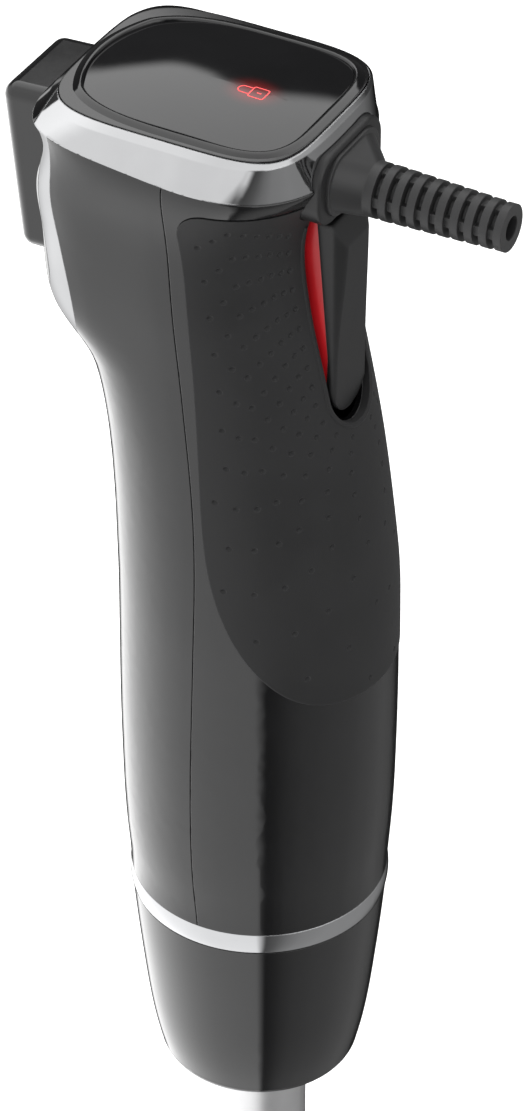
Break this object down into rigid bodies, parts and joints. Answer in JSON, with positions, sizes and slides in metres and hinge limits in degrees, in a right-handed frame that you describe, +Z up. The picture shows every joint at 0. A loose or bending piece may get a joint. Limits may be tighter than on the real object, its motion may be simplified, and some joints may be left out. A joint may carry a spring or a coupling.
{
  "type": "immersion blender",
  "caption": "Hand-held stick blender with lever trigger, glossy lock panel, chrome trim, detachable steel blending arm, bell guard and blade.",
  "frame": {"origin": "centre of the circle of the blade guard's rim, on the surface it stands on", "axes": "+Z up the long axis to the head, +X to the trigger and cord side, XZ is the plane of symmetry"},
  "size_m": [0.1097, 0.062, 0.4125],
  "materials": {
    "shell_gloss": "high gloss",
    "grip_soft": "matte soft touch with dimples",
    "trim_chrome": "bright plated",
    "frame_gloss": "high gloss",
    "lens_gloss": "high gloss",
    "collar_matte": "fine texture",
    "boot_rubber": "matte",
    "trigger_black": "satin",
    "trigger_red": "satin",
    "steel_pin": "plain",
    "spring_steel": "plain",
    "switch_plastic": "plain",
    "switch_white": "plain",
    "board": "solder mask",
    "light_guide": "translucent",
    "sink_aluminium": "extruded",
    "capacitor_case": "sleeved",
    "lamination": "stacked sheet steel",
    "copper_wire": "enamelled copper",
    "bracket_plastic": "moulded",
    "bearing_steel": "ground",
    "mount_rubber": "matte",
    "brush_brass": "drawn",
    "carbon": "sintered carbon",
    "coupling_plastic": "moulded",
    "ring_chrome": "bright plated",
    "socket_plastic": "moulded",
    "screw_steel": "zinc plated",
    "arm_steel": "fine brushed",
    "bush_bronze": "sintered",
    "seal_rubber": "matte",
    "blade_steel": "ground"
  },
  "bodies": {
    "housing": {"front_shell": "shell_gloss", "rear_shell": "shell_gloss", "grip_overmould": "grip_soft", "chrome_bezel": "trim_chrome", "top_frame": "frame_gloss", "display_lens": "lens_gloss", "rear_hood": "frame_gloss", "rear_pod": "shell_gloss", "cord_exit_collar": "collar_matte", "strain_relief": "boot_rubber", "cord_clamp": "bracket_plastic", "trigger_pin": "steel_pin", "return_spring": "spring_steel", "switch_body": "switch_plastic", "lock_light_board": "board", "light_guide": "light_guide", "control_board": "board", "heat_sink": "sink_aluminium", "capacitor": "capacitor_case", "stator_core": "lamination", "field_coil_front": "copper_wire", "field_coil_rear": "copper_wire", "lower_bracket": "bracket_plastic", "lower_bearing": "bearing_steel", "upper_bracket": "bracket_plastic", "upper_bearing": "bearing_steel", "motor_bolts": "screw_steel", "lower_mount": "mount_rubber", "upper_mount": "mount_rubber", "brush_holder_left": "brush_brass", "brush_holder_right": "brush_brass", "brush_left": "carbon", "brush_right": "carbon", "chrome_ring": "ring_chrome", "bayonet_socket": "socket_plastic", "socket_screws": "screw_steel"},
    "trigger": {"trigger_cap": "trigger_black", "trigger_lever": "trigger_red"},
    "plunger": {"switch_plunger": "switch_white"},
    "rotor": {"motor_shaft": "bearing_steel", "armature_core": "lamination", "armature_windings": "copper_wire", "commutator": "copper_wire", "cooling_fan": "coupling_plastic", "drive_dog": "coupling_plastic", "drive_cup": "coupling_plastic", "drive_shaft": "bearing_steel", "blade": "blade_steel", "blade_nut": "blade_steel", "blade_spacer": "blade_steel"},
    "arm": {"nose_cone": "shell_gloss", "arm_hub": "socket_plastic", "arm_tube": "arm_steel", "upper_bush": "bush_bronze", "blade_guard": "arm_steel", "lower_bush": "bush_bronze", "shaft_seal": "seal_rubber"}
  },
  "joints": [
    {"name": "trigger_press", "type": "hinge", "parent": "housing", "child": "trigger", "pos_m": [0.0155, 0, 0.3455], "axis": [0, -1, 0], "range_deg": [0, 7], "stiffness_Nm_per_rad": 0.5, "springref_deg": -8.59, "deforming": ["return_spring"]},
    {"name": "plunger_slide", "type": "slide", "parent": "housing", "child": "plunger", "axis": [-1, 0, 0], "range_m": [0, 0.0044]},
    {"name": "rotor_spin", "type": "hinge", "parent": "housing", "child": "rotor", "pos_m": [0, 0, 0.2], "axis": [0, 0, 1], "continuous": true},
    {"name": "arm_twist", "type": "hinge", "parent": "housing", "child": "arm", "pos_m": [0, 0, 0.214], "axis": [0, 0, 1], "range_deg": [0, 25]}
  ],
  "couplings": [
    {"joint": "plunger_slide", "follows": "trigger_press", "m_per_rad": 0.0345}
  ]
}
